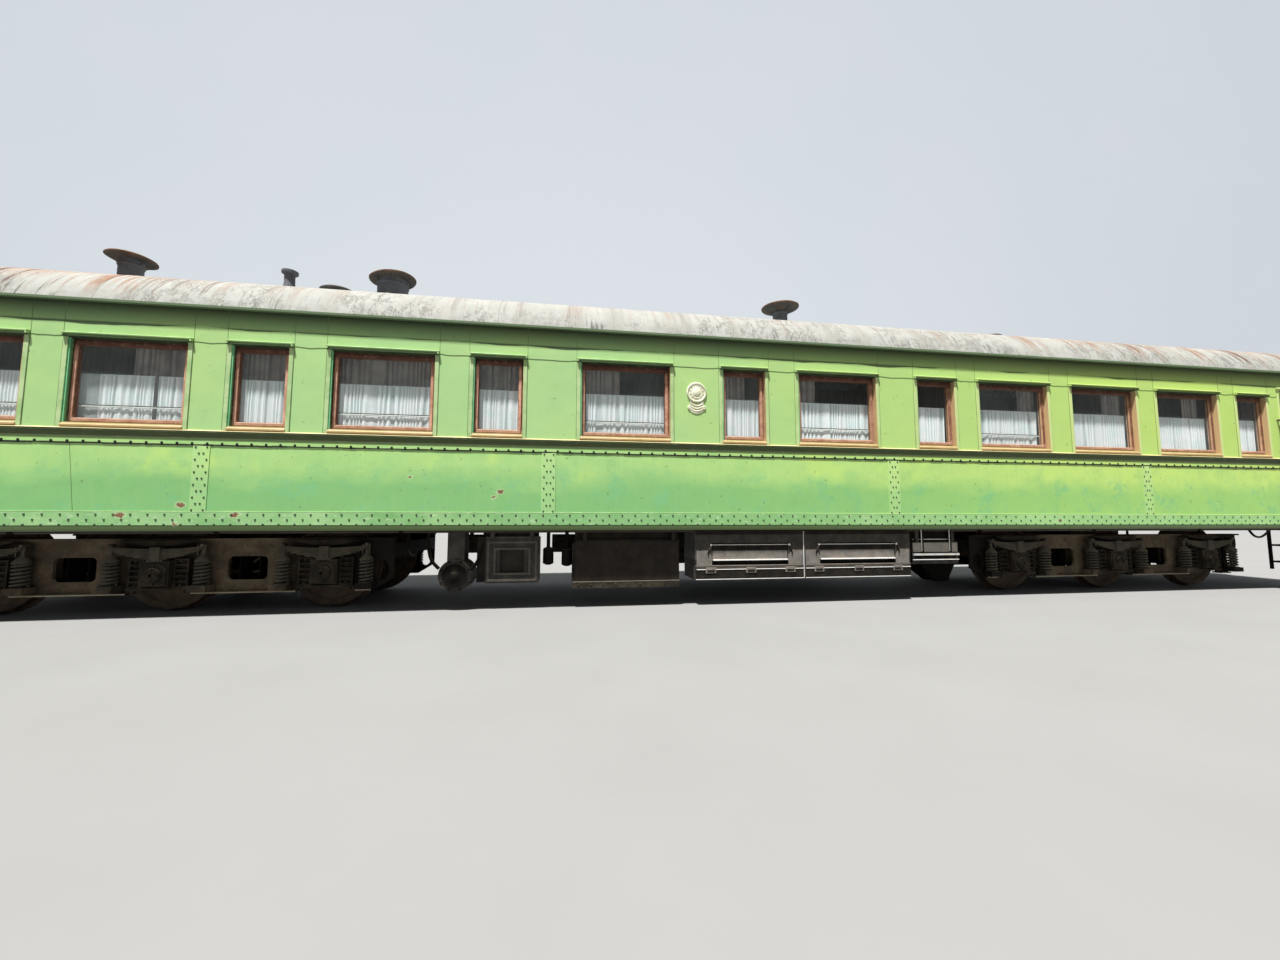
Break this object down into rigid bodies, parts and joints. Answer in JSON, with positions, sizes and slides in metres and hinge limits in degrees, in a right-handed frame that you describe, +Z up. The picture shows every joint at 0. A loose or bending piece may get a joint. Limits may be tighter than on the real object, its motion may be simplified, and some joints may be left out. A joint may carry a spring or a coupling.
{
  "type": "railway passenger coach on two three-axle bogies",
  "caption": "Riveted steel saloon coach with curtained windows, arched roof with ventilators, vestibule doors, underframe boxes and two sprung three-axle bogies.",
  "frame": {"origin": "on the centre plane midway between the bogie pivots, level with the lowest point of the wheel flanges", "axes": "+X along the coach, +Y towards the corridor side, +Z up"},
  "size_m": [22.5, 3.244, 4.9298],
  "materials": {
    "green_paint": "satin weathered",
    "roof_paint": "matte weathered",
    "vent_iron": "rough",
    "window_wood": "weathered varnish",
    "glass": "clear",
    "curtain_cloth": "soft",
    "floor_lining": "matte",
    "inner_wood": "satin varnish",
    "plaque_metal": "satin",
    "gangway_rubber": "matte",
    "box_paint": "matte dusty",
    "wheel_steel": "rusty",
    "spring_steel": "dusty",
    "rail_steel": "satin",
    "running_iron": "matte dusty"
  },
  "bodies": {
    "root": {"air_tanks": "box_paint", "battery_boxes": "box_paint", "buffers": "running_iron", "couplers": "running_iron", "curtains": "curtain_cloth", "door_steps": "running_iron", "end_wall_front": "green_paint", "end_wall_rear": "green_paint", "equipment_boxes": "box_paint", "floor": "floor_lining", "gangways": "gangway_rubber", "handrails": "rail_steel", "inner_walls": "inner_wood", "plaque": "plaque_metal", "roof": "roof_paint", "roof_vents": "vent_iron", "side_wall_far": "green_paint", "side_wall_near": "green_paint", "underframe": "running_iron", "window_frames": "window_wood", "window_glass": "glass"},
    "bogie_front": {"axleboxes_front": "running_iron", "bogie_frame_front": "running_iron", "bogie_springs_front": "spring_steel", "brake_gear_front": "running_iron"},
    "wheelset_front_1": {"wheelset_front_1": "wheel_steel"},
    "wheelset_front_2": {"wheelset_front_2": "wheel_steel"},
    "wheelset_front_3": {"wheelset_front_3": "wheel_steel"},
    "side_door_front_near": {"side_door_front_near": "green_paint", "door_glass_front_near": "glass"},
    "side_door_front_far": {"side_door_front_far": "green_paint", "door_glass_front_far": "glass"},
    "end_door_front": {"end_door_front": "green_paint", "door_glass_front_end": "glass"},
    "fall_plate_front": {"fall_plate_front": "running_iron"},
    "bogie_rear": {"axleboxes_rear": "running_iron", "bogie_frame_rear": "running_iron", "bogie_springs_rear": "spring_steel", "brake_gear_rear": "running_iron"},
    "wheelset_rear_1": {"wheelset_rear_1": "wheel_steel"},
    "wheelset_rear_2": {"wheelset_rear_2": "wheel_steel"},
    "wheelset_rear_3": {"wheelset_rear_3": "wheel_steel"},
    "side_door_rear_near": {"side_door_rear_near": "green_paint", "door_glass_rear_near": "glass"},
    "side_door_rear_far": {"side_door_rear_far": "green_paint", "door_glass_rear_far": "glass"},
    "end_door_rear": {"end_door_rear": "green_paint", "door_glass_rear_end": "glass"},
    "fall_plate_rear": {"fall_plate_rear": "running_iron"},
    "battery_lid_near_1": {"battery_lid_near_1": "box_paint"},
    "battery_lid_near_2": {"battery_lid_near_2": "box_paint"},
    "battery_lid_far_1": {"battery_lid_far_1": "box_paint"},
    "battery_lid_far_2": {"battery_lid_far_2": "box_paint"}
  },
  "joints": [
    {"name": "bogie_swivel_front", "type": "hinge", "parent": "root", "child": "bogie_front", "pos_m": [6.8, 0, 0.99], "axis": [0, 0, 1], "range_deg": [-4, 4]},
    {"name": "axle_front_1", "type": "hinge", "parent": "bogie_front", "child": "wheelset_front_1", "pos_m": [4.97, 0, 0.553], "axis": [0, 1, 0], "continuous": true},
    {"name": "axle_front_2", "type": "hinge", "parent": "bogie_front", "child": "wheelset_front_2", "pos_m": [6.8, 0, 0.553], "axis": [0, 1, 0], "continuous": true},
    {"name": "axle_front_3", "type": "hinge", "parent": "bogie_front", "child": "wheelset_front_3", "pos_m": [8.63, 0, 0.553], "axis": [0, 1, 0], "continuous": true},
    {"name": "side_door_front_near_hinge", "type": "hinge", "parent": "root", "child": "side_door_front_near", "pos_m": [9.628, -1.422, 1.328], "axis": [0, 0, 1], "range_deg": [0, 90]},
    {"name": "side_door_front_far_hinge", "type": "hinge", "parent": "root", "child": "side_door_front_far", "pos_m": [9.628, 1.422, 1.328], "axis": [0, 0, -1], "range_deg": [0, 90]},
    {"name": "end_door_front_hinge", "type": "hinge", "parent": "root", "child": "end_door_front", "pos_m": [10.572, -0.342, 1.328], "axis": [0, 0, 1], "range_deg": [0, 90]},
    {"name": "fall_plate_front_hinge", "type": "hinge", "parent": "root", "child": "fall_plate_front", "pos_m": [10.68, 0, 1.298], "axis": [0, -1, 0], "range_deg": [0, 88]},
    {"name": "bogie_swivel_rear", "type": "hinge", "parent": "root", "child": "bogie_rear", "pos_m": [-6.8, 0, 0.99], "axis": [0, 0, 1], "range_deg": [-4, 4]},
    {"name": "axle_rear_1", "type": "hinge", "parent": "bogie_rear", "child": "wheelset_rear_1", "pos_m": [-8.63, 0, 0.553], "axis": [0, 1, 0], "continuous": true},
    {"name": "axle_rear_2", "type": "hinge", "parent": "bogie_rear", "child": "wheelset_rear_2", "pos_m": [-6.8, 0, 0.553], "axis": [0, 1, 0], "continuous": true},
    {"name": "axle_rear_3", "type": "hinge", "parent": "bogie_rear", "child": "wheelset_rear_3", "pos_m": [-4.97, 0, 0.553], "axis": [0, 1, 0], "continuous": true},
    {"name": "side_door_rear_near_hinge", "type": "hinge", "parent": "root", "child": "side_door_rear_near", "pos_m": [-9.628, -1.422, 1.328], "axis": [0, 0, -1], "range_deg": [0, 90]},
    {"name": "side_door_rear_far_hinge", "type": "hinge", "parent": "root", "child": "side_door_rear_far", "pos_m": [-9.628, 1.422, 1.328], "axis": [0, 0, 1], "range_deg": [0, 90]},
    {"name": "end_door_rear_hinge", "type": "hinge", "parent": "root", "child": "end_door_rear", "pos_m": [-10.572, -0.342, 1.328], "axis": [0, 0, -1], "range_deg": [0, 90]},
    {"name": "fall_plate_rear_hinge", "type": "hinge", "parent": "root", "child": "fall_plate_rear", "pos_m": [-10.68, 0, 1.298], "axis": [0, 1, 0], "range_deg": [0, 88]},
    {"name": "battery_lid_near_1_hinge", "type": "hinge", "parent": "root", "child": "battery_lid_near_1", "pos_m": [0.437, -1.441, 0.79], "axis": [-1, 0, 0], "range_deg": [0, 100]},
    {"name": "battery_lid_near_2_hinge", "type": "hinge", "parent": "root", "child": "battery_lid_near_2", "pos_m": [2.007, -1.441, 0.79], "axis": [-1, 0, 0], "range_deg": [0, 100]},
    {"name": "battery_lid_far_1_hinge", "type": "hinge", "parent": "root", "child": "battery_lid_far_1", "pos_m": [0.437, 1.441, 0.79], "axis": [1, 0, 0], "range_deg": [0, 100]},
    {"name": "battery_lid_far_2_hinge", "type": "hinge", "parent": "root", "child": "battery_lid_far_2", "pos_m": [2.007, 1.441, 0.79], "axis": [1, 0, 0], "range_deg": [0, 100]}
  ]
}
